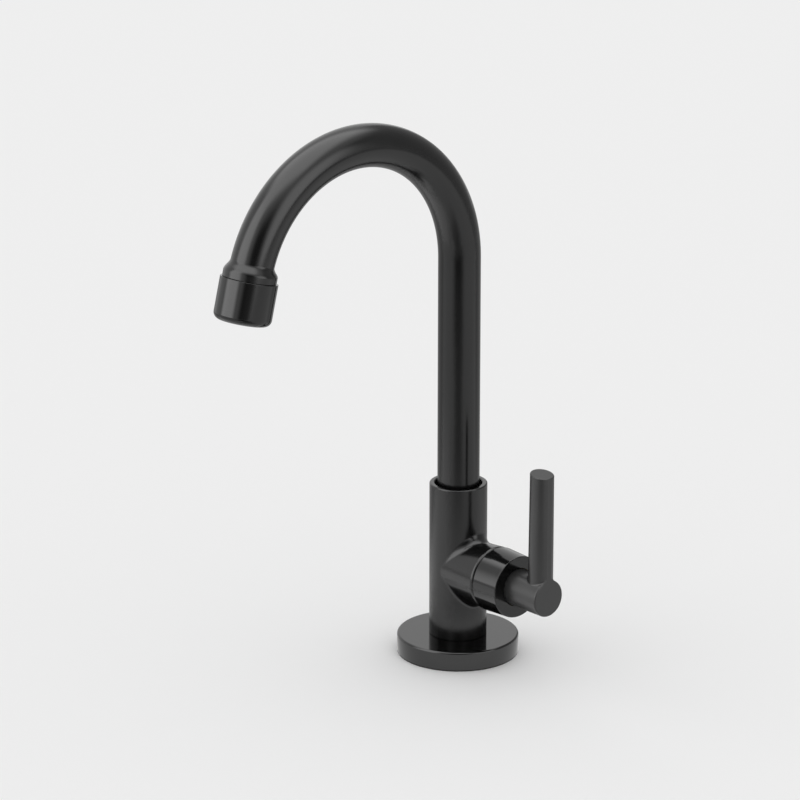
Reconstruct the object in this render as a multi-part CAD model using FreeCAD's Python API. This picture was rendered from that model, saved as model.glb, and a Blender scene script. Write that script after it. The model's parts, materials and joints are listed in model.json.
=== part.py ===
import FreeCAD, Part
import math
import os

from FreeCAD import Placement, Rotation, Vector

# Basin tap with a swivelling gooseneck spout and a quarter-turn side valve.
# Millimetres, +Z up. The origin is the centre of the flange's underside, on the tap's axis.
# The spout reaches towards -Y and the valve's branch towards +X. The lever stands up, valve shut.

# Fits between pieces, each a gap on the radius
thread_gap = 0.05            # screwed pieces, drawn as plain cylinders at the thread's outer size
braze_gap = 0.04             # soldered and pressed pieces
running_gap = 0.06           # shafts and sleeves that turn in a bore
seal_gap = 0.05              # rubber rings against what they seal
soft_gap = 0.3               # washers round a screw or a shank
end_play = 0.05              # along an axle, between pieces that turn against each other

# Base flange and the gasket let into its underside, drawn squeezed flush as on a deck
flange_radius = 27.7
flange_thickness = 9.0
flange_edge_round = 0.9
gasket_inner_radius = 17.0
gasket_outer_radius = 25.0
gasket_thickness = 2.4

# Body: upright cylinder with a side branch
body_radius = 13.1
body_height = 72.1
body_rim_round_share = 0.2553 # of the wall round the socket, on its inner and outer edge
body_foot_round = 0.3
branch_root_step = 0.4       # the branch starts this much slimmer than the body
branch_end_radius = 14.7
branch_reach = 25.9          # from the tap's axis to the branch's end face
branch_edge_round = 1.6
branch_fillet = 4.2

# Threaded shank below the body, and what clamps it to the deck
shank_radius = 10.478
shank_bore_radius = 7.0
shank_below_deck = 52.0
shank_end_chamfer = 0.9
inlet_thread_length = 14.0
relief_width = 1.6
relief_depth = 1.1
deck_thickness = 20.0
shank_seal_thickness = 1.5
clamp_washer_radius = 17.5
rubber_washer_thickness = 2.5
metal_washer_thickness = 1.5
locknut_across_flats = 27.0
locknut_thickness = 9.0

# Waterways inside the body
inlet_chamber_height = 4.5
inlet_chamber_wall = 5.2     # metal between the inlet chamber and the valve chamber
inlet_bore_radius = 4.5
inlet_bore_offset = 5.6      # from the tap's axis, away from the branch
inlet_bore_overrun = 0.6     # the drill runs on this far past the seat hole
seat_hole_radius = 4.5
outlet_bore_radius = 4.0
outlet_bore_offset = 2.8

# Ceramic disc headwork, placed along the branch from the seat face outwards
seat_face_reach = 0.5        # from the tap's axis
valve_chamber_radius = 9.6
headwork_thread_radius = 10.45
headwork_thread_length = 12.6
headwork_sleeve_radius = 8.4
headwork_sleeve_wall = 1.2
seat_seal_thickness = 2.5
seat_seal_proud = 0.8
seat_seal_width = 1.5
disc_thickness = 3.0
disc_core_radius = 1.8       # ceramic left in the middle, between the two ports
disc_port_radius = 5.5
disc_port_angle = 75.0
moving_disc_shrink = 0.15
drive_tongue_width = 2.4
drive_tongue_depth = 1.2
drive_tongue_length = 9.0
drive_slot_play = 0.1
window_width = 7.0
window_length = 4.2
spindle_flange_thickness = 2.2
friction_washer_thickness = 0.8
spindle_radius = 4.4
spindle_ring_section = 1.5
spindle_ring_pitch = 5.0
spindle_ring_count = 2
headwork_gasket_thickness = 0.5
headwork_hex_across_flats = 22.4
headwork_hex_thickness = 5.0
headwork_neck_radius = 9.0
headwork_neck_length = 5.1
clip_thickness = 1.0
clip_radius = 6.0
clip_groove_depth = 0.8
spline_teeth = 20
spline_tip_radius = 3.95
spline_root_radius = 3.5
spline_length = 13.0

# Bonnet cover over the headwork's hexagon
cover_rear_radius = 14.8
cover_front_radius = 14.2
cover_gap = 0.6              # open line between the branch and the cover
cover_length = 13.9
cover_wall = 1.7
cover_face_thickness = 3.2
cover_edge_round = 0.4

# Lever handle: hub and bar cast in one
hub_radius = 8.45
hub_length = 20.0            # in front of the cover
hub_clip_gap = 0.6           # between the hub's inner end and the spindle's clip
hub_mouth_gap = 0.25
hub_edge_round = 0.8
lever_root_radius = 5.65
lever_tip_radius = 5.35
lever_flat_depth = 0.15      # how far the bar is faced off flush with the hub's end
lever_rise = 57.2            # along the bar, from the valve axis to its sloping top
lever_top_slope = 9.5
lever_top_round = 0.5
lever_root_fillet = 1.2
grub_radius = 2.0
grub_point_radius = 1.4
grub_length = 4.4
grub_reach = 7.0             # from the hub's inner end to the screw
grub_socket_flats = 2.0
grub_socket_depth = 2.0
grub_groove_depth = 0.6

# Spout socket in the body, and the foot that turns in it
socket_radius = 10.75
socket_depth = 26.2
socket_floor_wall = 3.5      # metal between the valve chamber and the socket
thrust_washer_thickness = 1.0
thrust_washer_width = 2.9
foot_gap = 0.08
foot_below_rim = 4.7
foot_tube_depth = 7.0
foot_bore_radius = 7.4
spout_ring_section = 1.5
spout_ring_pitch = 4.0
spout_ring_rise = 2.6        # first ring above the foot's lower end
spout_ring_count = 2
retaining_rise = 10.6        # retaining screw above the foot's lower end
retaining_screw_radius = 2.0
retaining_tip_radius = 1.4
retaining_groove_play = 0.2
retaining_groove_depth = 1.2
bearing_ring_height = 1.6

# Gooseneck spout
tube_radius = 9.525
tube_wall = 1.0
straight_rise = 105.15       # from the body's rim to where the bend starts
bend_radius = 60.2
bend_angle = 166.0
flare_radius = 11.75
flare_length = 4.6
flare_steps = 8
flare_skirt = 2.4

# Threaded insert in the spout's end, and the aerator below it
insert_ring_bore_radius = 8.6
insert_thread_radius = 10.95
insert_thread_length = 6.8
cap_radius = 12.6
cap_length = 18.8
cap_gap = 0.25               # open line between the spout and the cap
cap_bottom_round = 3.0
cap_top_round = 0.2
cap_lip_thickness = 2.0
cap_outlet_radius = 9.1
aerator_bore_radius = 10.4
aerator_seal_thickness = 1.8
aerator_seal_inner_radius = 8.7
aerator_collar_height = 1.5
aerator_wall = 1.0
aerator_lip_height = 0.8
aerator_lip_width = 0.6
screen_thickness = 0.8
screen_seat_radius = 9.4
screen_hole = 0.9
screen_pitch = 1.9
diffuser_height = 2.8
diffuser_plate = 1.0
diffuser_wall = 0.9
diffuser_jets = 12
diffuser_jet_radius = 0.55
diffuser_jet_circle = 5.2
grid_height = 1.8
grid_cell = 1.5
grid_pitch = 2.0

# Heights and reaches that follow from the sizes above
body_top = flange_thickness + body_height
body_rim_round = body_rim_round_share * (body_radius - socket_radius)
socket_floor = body_top - socket_depth
valve_height = socket_floor - socket_floor_wall - valve_chamber_radius
inlet_chamber_top = valve_height - valve_chamber_radius - inlet_chamber_wall
shank_seal_top = inlet_chamber_top - inlet_chamber_height
shank_top = shank_seal_top - shank_seal_thickness
shank_bottom = -shank_below_deck
foot_bottom = socket_floor + thrust_washer_thickness
foot_top = body_top - foot_below_rim
tube_bottom = foot_top - foot_tube_depth
foot_radius = socket_radius - foot_gap
bend_start = body_top + straight_rise
cover_start = branch_reach + cover_gap
cover_front = cover_start + cover_length
hub_front = cover_front + hub_length
sleeve_start = seat_face_reach + seat_seal_proud
sleeve_bore_radius = headwork_sleeve_radius - headwork_sleeve_wall
fixed_disc_start = seat_face_reach + seat_seal_thickness
moving_disc_start = fixed_disc_start + disc_thickness
spindle_start = moving_disc_start + disc_thickness
friction_washer_start = spindle_start + spindle_flange_thickness
sleeve_shoulder = friction_washer_start + friction_washer_thickness + end_play
hex_start = branch_reach + headwork_gasket_thickness
hex_end = hex_start + headwork_hex_thickness
neck_end = hex_end + headwork_neck_length
clip_start = neck_end + end_play
spline_start = clip_start + clip_thickness + end_play
hub_start = spline_start + hub_clip_gap

# Axes that turned pieces lie on: along X in their own frame, then set in place
upright = Placement(Vector(0, 0, 0), Rotation(Vector(0, 1, 0), -90))
valve_axis = Placement(Vector(0, 0, valve_height), Rotation())


def bend_point(angle):
    """Centre of the spout tube at an angle of its bend, in degrees."""
    turn = math.radians(angle)
    return Vector(0, bend_radius * (math.cos(turn) - 1), bend_start + bend_radius * math.sin(turn))


def bend_direction(angle):
    turn = math.radians(angle)
    return Vector(0, -math.sin(turn), math.cos(turn))


outlet_direction = bend_direction(bend_angle)
seam_point = bend_point(bend_angle) + outlet_direction * flare_skirt
outlet_axis = Placement(seam_point, Rotation(Vector(1, 0, 0), outlet_direction))


# Shape helpers

def turned(profile, axis):
    """Solid turned from (along, radius) points, about the X axis of the placement."""
    points = [Vector(along, 0, radius) for along, radius in profile]
    face = Part.Face(Part.makePolygon(points + points[:1]))
    solid = face.revolve(Vector(0, 0, 0), Vector(1, 0, 0), 360)
    solid.Placement = axis
    return Part.makeSolid(solid) if solid.ShapeType != "Solid" else solid


def ring(start, length, outer, inner, axis):
    return turned([(start, inner), (start, outer), (start + length, outer), (start + length, inner)], axis)


def rod(start, length, radius, axis):
    solid = Part.makeCylinder(radius, length)
    solid.Placement = axis * Placement(Vector(start, 0, 0), Rotation(Vector(0, 1, 0), 90))
    return solid


def prism(points, start, length, axis):
    """Straight prism along the placement's X axis, with its outline given as (y, z)."""
    corners = [Vector(start, y, z) for y, z in points]
    solid = Part.Face(Part.makePolygon(corners + corners[:1])).extrude(Vector(length, 0, 0))
    solid.Placement = axis
    return solid


def hexagon(across_flats):
    corner = across_flats / 2 / math.cos(math.radians(30))
    turns = [math.radians(60 * step) for step in range(6)]
    return [(corner * math.cos(turn), corner * math.sin(turn)) for turn in turns]


def spline_outline(tip, root):
    step = math.pi / spline_teeth
    radii = [tip if count % 2 == 0 else root for count in range(2 * spline_teeth)]
    return [(r * math.cos(step * n), r * math.sin(step * n)) for n, r in enumerate(radii)]


def sector(start, length, inner, outer, middle, width, axis):
    """Pie-shaped prism between two radii, centred on an angle from the placement's Y axis."""
    low = math.radians(middle - width / 2)
    high = math.radians(middle + width / 2)
    centre = math.radians(middle)

    def at(radius, turn):
        return Vector(start, radius * math.cos(turn), radius * math.sin(turn))

    outline = Part.Wire([
        Part.LineSegment(at(inner, low), at(outer, low)).toShape(),
        Part.Arc(at(outer, low), at(outer, centre), at(outer, high)).toShape(),
        Part.LineSegment(at(outer, high), at(inner, high)).toShape(),
        Part.Arc(at(inner, high), at(inner, centre), at(inner, low)).toShape(),
    ])
    solid = Part.Face(outline).extrude(Vector(length, 0, 0))
    solid.Placement = axis
    return solid


def rounded(shape, radius, wanted):
    """Shape with a fillet on every edge that the test picks."""
    edges = [edge for edge in shape.Edges if wanted(edge)]
    return shape.makeFillet(radius, edges)


def full_circle(edge, radius):
    """Whether an edge is a whole circle of this radius."""
    curve = edge.Curve
    return (isinstance(curve, Part.Circle) and abs(curve.Radius - radius) < 0.01
            and edge.Length > 1.9 * math.pi * radius)


def along(edge, axis):
    """Distance of an edge's middle along a placement's X axis."""
    return axis.inverse().multVec(edge.CenterOfMass).x


def o_rings(count, first, pitch, middle_radius, section, axis):
    """Rubber rings of round section, evenly spaced along an axis."""
    rings = []
    for step in range(count):
        solid = Part.makeTorus(middle_radius, section / 2, Vector(first + step * pitch, 0, 0), Vector(1, 0, 0))
        solid.Placement = axis
        rings.append(solid)
    return rings


def groove_cutters(count, first, pitch, width, outer, bottom, axis):
    """Square grooves for rings, evenly spaced along an axis."""
    return [ring(first + step * pitch - width / 2, width, outer, bottom, axis) for step in range(count)]


def cut_all(shape, cutters):
    return shape.cut(Part.makeCompound(cutters)) if cutters else shape


# Base

def make_base_flange():
    flange = ring(0, flange_thickness, flange_radius, shank_radius + soft_gap, upright)
    flange = rounded(flange, flange_edge_round,
                     lambda edge: full_circle(edge, flange_radius) and edge.CenterOfMass.z > 1)
    recess = ring(0, gasket_thickness, gasket_outer_radius + seal_gap, gasket_inner_radius - seal_gap, upright)
    return flange.cut(recess)


def make_deck_gasket():
    return ring(0, gasket_thickness, gasket_outer_radius, gasket_inner_radius, upright)


def make_threaded_shank():
    chamfer_radius = shank_radius - shank_end_chamfer
    inlet_top = shank_bottom + shank_end_chamfer + inlet_thread_length
    relief_radius = shank_radius - relief_depth
    return turned([
        (shank_bottom, shank_bore_radius),
        (shank_bottom, chamfer_radius),
        (shank_bottom + shank_end_chamfer, shank_radius),
        (inlet_top, shank_radius),
        (inlet_top, relief_radius),
        (inlet_top + relief_width, relief_radius),
        (inlet_top + relief_width, shank_radius),
        (shank_top - shank_end_chamfer, shank_radius),
        (shank_top, chamfer_radius),
        (shank_top, shank_bore_radius),
    ], upright)


def make_shank_seal():
    return ring(shank_top, shank_seal_thickness, shank_radius - soft_gap, shank_bore_radius, upright)


def make_rubber_washer():
    start = -deck_thickness - rubber_washer_thickness
    return ring(start, rubber_washer_thickness, clamp_washer_radius, shank_radius + soft_gap, upright)


def make_metal_washer():
    start = -deck_thickness - rubber_washer_thickness - metal_washer_thickness
    return ring(start, metal_washer_thickness, clamp_washer_radius, shank_radius + soft_gap, upright)


def make_locknut():
    top = -deck_thickness - rubber_washer_thickness - metal_washer_thickness
    nut = prism(hexagon(locknut_across_flats), top - locknut_thickness, locknut_thickness, upright)
    corner = locknut_across_flats / 2 / math.cos(math.radians(30))
    bevel = corner - locknut_across_flats / 2
    envelope = turned([
        (top - locknut_thickness, 0),
        (top - locknut_thickness, corner - bevel),
        (top - locknut_thickness + bevel / 2, corner),
        (top - bevel / 2, corner),
        (top, corner - bevel),
        (top, 0),
    ], upright)
    bore = rod(top - locknut_thickness, locknut_thickness, shank_radius + thread_gap, upright)
    return nut.common(envelope).cut(bore)


# Body

def make_tap_body():
    column = rod(flange_thickness, body_height, body_radius, upright)
    column.rotate(Vector(0, 0, 0), Vector(0, 0, 1), 180)     # its seam faces away from the branch
    branch = turned([
        (0, 0),
        (0, body_radius - branch_root_step),
        (branch_reach, branch_end_radius),
        (branch_reach, 0),
    ], valve_axis)
    body = column.fuse(branch).removeSplitter()

    def junction(edge):
        box = edge.BoundBox
        return box.YLength > body_radius and box.XLength > 3 and box.ZLength > body_radius
    body = rounded(body, branch_fillet, junction)
    body = rounded(body, branch_edge_round,
                   lambda edge: full_circle(edge, branch_end_radius) and along(edge, valve_axis) > branch_reach - 1)
    body = rounded(body, body_rim_round,
                   lambda edge: full_circle(edge, body_radius) and edge.CenterOfMass.z > body_top - 1)
    body = rounded(body, body_foot_round,
                   lambda edge: full_circle(edge, body_radius) and edge.CenterOfMass.z < flange_thickness + 1)
    body = cut_all(body, body_cavities())
    return rounded(body, body_rim_round,
                   lambda edge: full_circle(edge, socket_radius) and edge.CenterOfMass.z > body_top - 1)


def body_cavities():
    shank_socket = rod(flange_thickness, shank_seal_top - flange_thickness, shank_radius + thread_gap,
                       upright)
    chamber = rod(shank_seal_top, inlet_chamber_height, shank_bore_radius, upright)
    riser_bottom = shank_seal_top + inlet_chamber_height / 2
    riser_top = valve_height + seat_hole_radius + inlet_bore_overrun
    riser = Part.makeCylinder(inlet_bore_radius, riser_top - riser_bottom,
                              Vector(-inlet_bore_offset, 0, riser_bottom))
    seat_hole = rod(-inlet_bore_offset, inlet_bore_offset + seat_face_reach, seat_hole_radius, valve_axis)
    valve_chamber = rod(seat_face_reach, branch_reach - seat_face_reach, valve_chamber_radius, valve_axis)
    thread_start = branch_reach - headwork_thread_length
    thread = rod(thread_start, headwork_thread_length, headwork_thread_radius + thread_gap, valve_axis)
    outlet_bottom = valve_height + valve_chamber_radius - outlet_bore_radius / 2
    outlet = Part.makeCylinder(outlet_bore_radius, socket_floor - outlet_bottom,
                               Vector(outlet_bore_offset, 0, outlet_bottom))
    socket = rod(socket_floor, body_top - socket_floor, socket_radius, upright)
    screw_height = foot_bottom + retaining_rise
    screw_hole = Part.makeCylinder(retaining_screw_radius + thread_gap, body_radius,
                                   Vector(0, 0, screw_height), Vector(0, 1, 0))
    return [shank_socket, chamber, riser, seat_hole, valve_chamber, thread, outlet, socket, screw_hole]


# Headwork

def make_headwork_body():
    thread_start = branch_reach - headwork_thread_length + soft_gap
    shape = turned([
        (sleeve_start, sleeve_bore_radius),
        (sleeve_start, headwork_sleeve_radius),
        (thread_start, headwork_sleeve_radius),
        (thread_start, headwork_thread_radius),
        (hex_start, headwork_thread_radius),
        (hex_start, headwork_neck_radius),
        (neck_end, headwork_neck_radius),
        (neck_end, spindle_radius + running_gap),
        (sleeve_shoulder, spindle_radius + running_gap),
        (sleeve_shoulder, sleeve_bore_radius),
    ], valve_axis)
    spanner_hexagon = prism(hexagon(headwork_hex_across_flats), hex_start, headwork_hex_thickness, valve_axis)
    bore = rod(hex_start, headwork_hex_thickness, spindle_radius + running_gap, valve_axis)
    shape = shape.fuse(spanner_hexagon.cut(bore)).removeSplitter()
    window_start = moving_disc_start + soft_gap
    window = Part.makeBox(window_length, window_width, 2 * headwork_thread_radius,
                          Vector(window_start, -window_width / 2, valve_height - headwork_thread_radius))
    return shape.cut(window)


def make_headwork_gasket():
    outer = headwork_hex_across_flats / 2
    return ring(branch_reach, headwork_gasket_thickness, outer, headwork_thread_radius + seal_gap, valve_axis)


def make_seat_seal():
    outer = sleeve_bore_radius - seal_gap
    return ring(seat_face_reach, seat_seal_thickness, outer, outer - seat_seal_width, valve_axis)


def disc_ports(start, outer, first):
    """Two pie-shaped cutters, opposite each other."""
    return [sector(start, disc_thickness, disc_core_radius, outer, first + half, disc_port_angle, valve_axis)
            for half in (0, 180)]


def make_fixed_disc():
    disc = rod(fixed_disc_start, disc_thickness, sleeve_bore_radius - seal_gap, valve_axis)
    return cut_all(disc, disc_ports(fixed_disc_start, disc_port_radius, 0))


def make_moving_disc():
    disc = rod(moving_disc_start, disc_thickness, sleeve_bore_radius - moving_disc_shrink, valve_axis)
    disc = cut_all(disc, disc_ports(moving_disc_start, 2 * sleeve_bore_radius, 90))
    play = 2 * drive_slot_play
    slot = Part.makeBox(drive_tongue_depth + drive_slot_play, drive_tongue_length + play,
                        drive_tongue_width + play,
                        Vector(spindle_start - drive_tongue_depth - drive_slot_play,
                               -(drive_tongue_length + play) / 2,
                               valve_height - (drive_tongue_width + play) / 2))
    return disc.cut(slot)


def make_spindle():
    groove = clip_groove_depth
    flange_outer = sleeve_bore_radius - moving_disc_shrink
    spindle = turned([
        (spindle_start, 0),
        (spindle_start, flange_outer),
        (friction_washer_start, flange_outer),
        (friction_washer_start, spindle_radius),
        (clip_start, spindle_radius),
        (clip_start, spindle_radius - groove),
        (clip_start + clip_thickness, spindle_radius - groove),
        (clip_start + clip_thickness, spindle_radius),
        (spline_start, spindle_radius),
        (spline_start, 0),
    ], valve_axis)
    tongue = Part.makeBox(drive_tongue_depth, drive_tongue_length, drive_tongue_width,
                          Vector(spindle_start - drive_tongue_depth, -drive_tongue_length / 2,
                                 valve_height - drive_tongue_width / 2))
    splines = prism(spline_outline(spline_tip_radius, spline_root_radius), spline_start, spline_length,
                    valve_axis)
    spindle = spindle.fuse([tongue, splines]).removeSplitter()
    grooves = groove_cutters(spindle_ring_count, spindle_rings_first(), spindle_ring_pitch,
                             spindle_ring_section + 2 * seal_gap, spindle_radius + running_gap,
                             spindle_ring_bottom(), valve_axis)
    grub_seat = ring(hub_start + grub_reach - grub_radius - thread_gap, 2 * (grub_radius + thread_gap),
                     spindle_radius, spline_root_radius - grub_groove_depth, valve_axis)
    return cut_all(spindle, grooves + [grub_seat])


def spindle_rings_first():
    """Place of the spindle's first ring, so that the set sits midway along the bore."""
    middle = (sleeve_shoulder + neck_end) / 2
    return middle - spindle_ring_pitch * (spindle_ring_count - 1) / 2


def spindle_ring_bottom():
    return spindle_radius + running_gap - spindle_ring_section - 2 * seal_gap


def make_spindle_rings():
    middle_radius = spindle_ring_bottom() + seal_gap + spindle_ring_section / 2
    return Part.makeCompound(o_rings(spindle_ring_count, spindle_rings_first(), spindle_ring_pitch,
                                     middle_radius, spindle_ring_section, valve_axis))


def make_friction_washer():
    return ring(friction_washer_start, friction_washer_thickness, sleeve_bore_radius - moving_disc_shrink,
                spindle_radius + running_gap, valve_axis)


def make_spindle_clip():
    inner = spindle_radius - clip_groove_depth
    clip = ring(clip_start, clip_thickness, clip_radius, inner + seal_gap, valve_axis)
    mouth = Part.makeBox(clip_thickness, 1.6 * inner, 2 * clip_radius,
                         Vector(clip_start, -0.8 * inner, valve_height - 2 * clip_radius))
    return clip.cut(mouth)


# Bonnet cover and handle

def make_bonnet_cover():
    slope = (cover_front_radius - cover_rear_radius) / cover_length
    mouth = hub_radius + hub_mouth_gap
    boss = headwork_neck_radius + thread_gap
    cavity_radius = cover_rear_radius - cover_wall
    face_start = cover_front - cover_face_thickness
    cover = turned([
        (cover_start, cavity_radius),
        (cover_start, cover_rear_radius),
        (cover_front, cover_rear_radius + slope * cover_length),
        (cover_front, mouth),
        (face_start, mouth),
        (face_start, boss),
        (hex_end, boss),
        (hex_end, cavity_radius),
    ], valve_axis)
    return rounded(cover, cover_edge_round, lambda edge: full_circle(edge, cover_front_radius))


def make_lever_handle():
    """Hub and round bar in one casting, flush with each other at the outer end."""
    spare = 3
    reach = 4 * hub_radius
    foot = Vector(hub_front - lever_root_radius + lever_flat_depth, 0, valve_height)
    drop = lever_tip_radius * math.tan(math.radians(lever_top_slope))
    bar_length = lever_rise + 2 * drop
    lean = math.degrees(math.atan((lever_root_radius - lever_tip_radius) / bar_length))
    hub = rod(hub_start, hub_front - hub_start + spare, hub_radius, valve_axis)
    bar = Part.makeCone(lever_root_radius, lever_tip_radius, bar_length)
    bar.Placement = Placement(foot, Rotation(Vector(0, 1, 0), lean) * Rotation(Vector(0, 0, 1), 180))
    above_top = Part.makeBox(reach, reach, reach, Vector(-reach / 2, -reach / 2, 0))
    above_top.Placement = Placement(foot + Vector(0, 0, lever_rise), Rotation(Vector(0, 1, 0), lever_top_slope))
    beyond_end = Part.makeBox(reach, reach, reach + 2 * lever_rise, Vector(hub_front, -reach / 2, 0))
    handle = hub.fuse(bar).removeSplitter()

    def root(edge):
        box = edge.BoundBox
        return hub_radius / 2 < box.ZMin - valve_height < hub_radius and box.YLength > 2 * lever_tip_radius

    def hub_end(edge):
        return edge.BoundBox.XMin > hub_front - 0.01 and edge.BoundBox.ZMin < valve_height

    def top_rim(edge):
        box = edge.BoundBox
        return box.ZMin > valve_height + lever_rise - 2 * drop and box.ZLength > drop / 4

    handle = rounded(handle, lever_root_fillet, root)
    handle = handle.cut(above_top).cut(beyond_end)
    handle = rounded(handle, hub_edge_round, hub_end)
    handle = rounded(handle, lever_top_round, top_rim)
    return cut_all(handle, handle_cavities())


def handle_cavities():
    splines = prism(spline_outline(spline_tip_radius + braze_gap, spline_root_radius + braze_gap),
                    hub_start, spline_start + spline_length + soft_gap - hub_start, valve_axis)
    grub_hole = Part.makeCylinder(grub_radius + thread_gap, hub_radius,
                                  Vector(hub_start + grub_reach, 0, valve_height), Vector(0, 0, -1))
    return [splines, grub_hole]


def make_screw(tip, direction, length, radius, point_radius, point_length):
    """Headless socket screw from its tip outwards, with a turned-down point."""
    axis = Placement(tip, Rotation(Vector(1, 0, 0), direction))
    shoulder = point_length + radius - point_radius
    screw = turned([
        (0, 0),
        (0, point_radius),
        (point_length, point_radius),
        (shoulder, radius),
        (length, radius),
        (length, 0),
    ], axis)
    socket = prism(hexagon(grub_socket_flats), length - grub_socket_depth, grub_socket_depth, axis)
    return screw.cut(socket)


def make_handle_grub():
    depth = spline_root_radius - grub_groove_depth + seal_gap
    tip = Vector(hub_start + grub_reach, 0, valve_height - depth)
    return make_screw(tip, Vector(0, 0, -1), grub_length, grub_radius, grub_point_radius, seal_gap)


# Spout

def make_spout_tube():
    start_angle = bend_angle - math.degrees(flare_length / bend_radius)
    straight = ring(tube_bottom, bend_start - tube_bottom, tube_radius, tube_radius - tube_wall, upright)
    section = Part.Face([Part.Wire(circle_at(0, tube_radius)), Part.Wire(circle_at(0, tube_radius - tube_wall))])
    bend = section.revolve(Vector(0, -bend_radius, bend_start), Vector(1, 0, 0), start_angle)
    flare = flare_loft(start_angle, 0).cut(flare_loft(start_angle, tube_wall))
    skirt = ring(-flare_skirt, flare_skirt, flare_radius, flare_radius - tube_wall, outlet_axis)
    return straight.fuse([bend, flare, skirt]).removeSplitter()


def circle_at(angle, radius):
    return Part.Circle(bend_point(angle), bend_direction(angle), radius).toShape()


def flare_loft(start_angle, inset):
    """Swaged end of the tube: its radius swells along the last of the bend."""
    sections = []
    for step in range(flare_steps + 1):
        share = step / flare_steps
        swell = (1 - math.cos(math.pi * share)) / 2
        radius = tube_radius + (flare_radius - tube_radius) * swell - inset
        angle = start_angle + (bend_angle - start_angle) * share
        sections.append(Part.Wire(circle_at(angle, radius)))
    return Part.makeLoft(sections, True)


def make_spout_foot():
    collar = foot_bottom + retaining_rise
    foot = turned([
        (foot_bottom, foot_bore_radius),
        (foot_bottom, foot_radius),
        (foot_top, foot_radius),
        (foot_top, tube_radius + braze_gap),
        (tube_bottom, tube_radius + braze_gap),
        (tube_bottom, foot_bore_radius),
    ], upright)
    grooves = groove_cutters(spout_ring_count, foot_bottom + spout_ring_rise, spout_ring_pitch,
                             spout_ring_section + 4 * seal_gap, socket_radius, spout_ring_bottom(), upright)
    half = retaining_tip_radius + retaining_groove_play
    retaining = ring(collar - half, 2 * half, socket_radius, foot_radius - retaining_groove_depth, upright)
    return cut_all(foot, grooves + [retaining])


def spout_ring_bottom():
    return socket_radius - seal_gap - spout_ring_section - seal_gap


def make_spout_rings():
    middle_radius = socket_radius - seal_gap - spout_ring_section / 2
    return Part.makeCompound(o_rings(spout_ring_count, foot_bottom + spout_ring_rise, spout_ring_pitch,
                                     middle_radius, spout_ring_section, upright))


def make_thrust_washer():
    outer = socket_radius - running_gap
    return ring(socket_floor, thrust_washer_thickness - end_play, outer, outer - thrust_washer_width, upright)


def make_bearing_ring():
    return ring(foot_top, bearing_ring_height, socket_radius - running_gap, tube_radius + running_gap, upright)


def make_retaining_screw():
    reach = foot_radius - retaining_groove_depth + retaining_groove_play
    tip = Vector(0, reach, foot_bottom + retaining_rise)
    length = body_radius - reach - soft_gap
    point = foot_radius - reach
    return make_screw(tip, Vector(0, 1, 0), length, retaining_screw_radius, retaining_tip_radius, point)


def make_outlet_insert():
    spigot = flare_radius - tube_wall - braze_gap
    return turned([
        (-flare_skirt, insert_ring_bore_radius),
        (-flare_skirt, spigot),
        (0, spigot),
        (0, insert_thread_radius),
        (insert_thread_length, insert_thread_radius),
        (insert_thread_length, insert_ring_bore_radius),
    ], outlet_axis)


# Aerator, placed along the outlet from the seam downwards

def aerator_places():
    seal_start = insert_thread_length
    housing_start = seal_start + aerator_seal_thickness
    ledge = cap_length - cap_lip_thickness
    return seal_start, housing_start, ledge


def make_aerator_cap():
    seal_start, housing_start, ledge = aerator_places()
    thread = insert_thread_radius + thread_gap
    cap = turned([
        (cap_gap, thread),
        (cap_gap, cap_radius),
        (cap_length, cap_radius),
        (cap_length, cap_outlet_radius),
        (ledge, cap_outlet_radius),
        (ledge, aerator_bore_radius),
        (seal_start, aerator_bore_radius),
        (seal_start, thread),
    ], outlet_axis)
    cap = rounded(cap, cap_bottom_round,
                  lambda edge: full_circle(edge, cap_radius) and along(edge, outlet_axis) > cap_length - 1)
    return rounded(cap, cap_top_round,
                   lambda edge: full_circle(edge, cap_radius) and along(edge, outlet_axis) < cap_gap + 1)


def make_aerator_seal():
    seal_start = aerator_places()[0]
    return ring(seal_start, aerator_seal_thickness, aerator_bore_radius - seal_gap,
                aerator_seal_inner_radius, outlet_axis)


def housing_radius():
    return aerator_bore_radius - seal_gap


def housing_bore():
    """Inside radius of the aerator's housing below the screen."""
    return cap_outlet_radius + soft_gap - aerator_wall


def make_aerator_housing():
    _, start, ledge = aerator_places()
    lower = housing_bore() + aerator_wall
    return turned([
        (start, screen_seat_radius + seal_gap),
        (start, housing_radius()),
        (start + aerator_collar_height, housing_radius()),
        (start + aerator_collar_height, lower),
        (ledge, lower),
        (ledge, housing_bore() - aerator_lip_width),
        (ledge - aerator_lip_height, housing_bore() - aerator_lip_width),
        (ledge - aerator_lip_height, housing_bore()),
        (start + screen_thickness, housing_bore()),
        (start + screen_thickness, screen_seat_radius + seal_gap),
    ], outlet_axis)


def square_holes(start, length, hole, pitch, reach):
    """Square cutters on a grid, as many as lie inside a radius."""
    count = int(reach / pitch)
    cutters = []
    for row in range(-count, count + 1):
        for column in range(-count, count + 1):
            if math.hypot(row, column) * pitch + hole * 0.71 < reach:
                corners = [(row * pitch + side_y * hole / 2, column * pitch + side_z * hole / 2)
                           for side_y, side_z in ((-1, -1), (1, -1), (1, 1), (-1, 1))]
                cutters.append(prism(corners, start, length, outlet_axis))
    return cutters


def make_aerator_screen():
    start = aerator_places()[1]
    screen = rod(start, screen_thickness, screen_seat_radius, outlet_axis)
    holes = square_holes(start, screen_thickness, screen_hole, screen_pitch, housing_bore())
    return cut_all(screen, holes)


def grid_start():
    return aerator_places()[2] - aerator_lip_height - grid_height


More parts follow.
